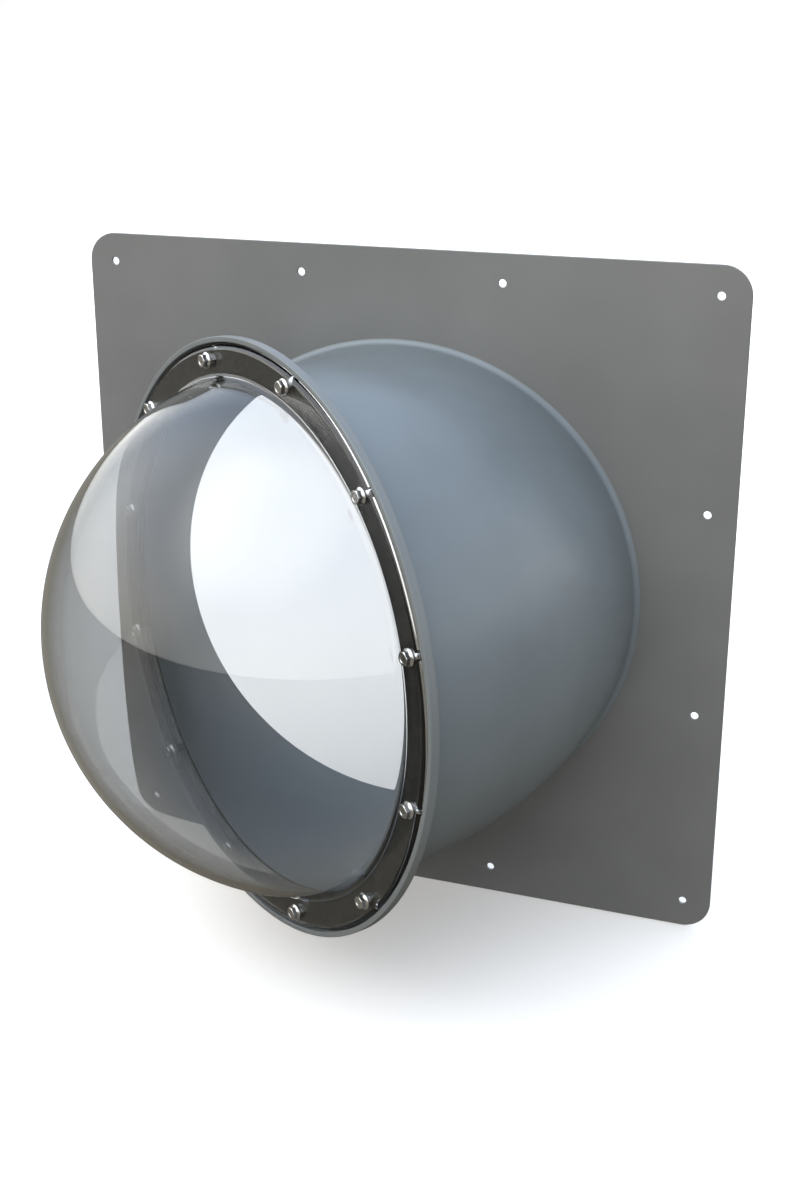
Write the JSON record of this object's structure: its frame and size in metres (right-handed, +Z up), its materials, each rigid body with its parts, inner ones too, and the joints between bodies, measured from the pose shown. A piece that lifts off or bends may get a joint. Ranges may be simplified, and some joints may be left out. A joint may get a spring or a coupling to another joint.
{
  "type": "domed viewing window",
  "caption": "Clear domed window bolted to a bent round steel sleeve with a square wall plate, for looking out sideways past the wall.",
  "frame": {"origin": "centre of the wall plate's back face, which lies against the wall", "axes": "the wall is the XZ plane, +Y points into the wall, +Z is up, and the dome looks out along -Y turned towards -X"},
  "size_m": [0.6, 0.3645, 0.6],
  "materials": {
    "plate_paint": "satin warm grey paint",
    "sleeve_paint": "semi-gloss cool grey paint",
    "ring_paint": "satin grey paint",
    "gasket_rubber": "matt black rubber",
    "clear_acrylic": "clear polished acrylic",
    "stainless": "bright stainless steel"
  },
  "bodies": {
    "root": {"wall_plate": "plate_paint", "elbow_sleeve": "sleeve_paint", "plate_weld": "sleeve_paint", "ring_flange": "ring_paint", "ring_weld": "ring_paint", "dome_gasket": "gasket_rubber", "clear_dome": "clear_acrylic", "dome_bolts": "stainless", "weld_nuts": "ring_paint"}
  },
  "joints": []
}
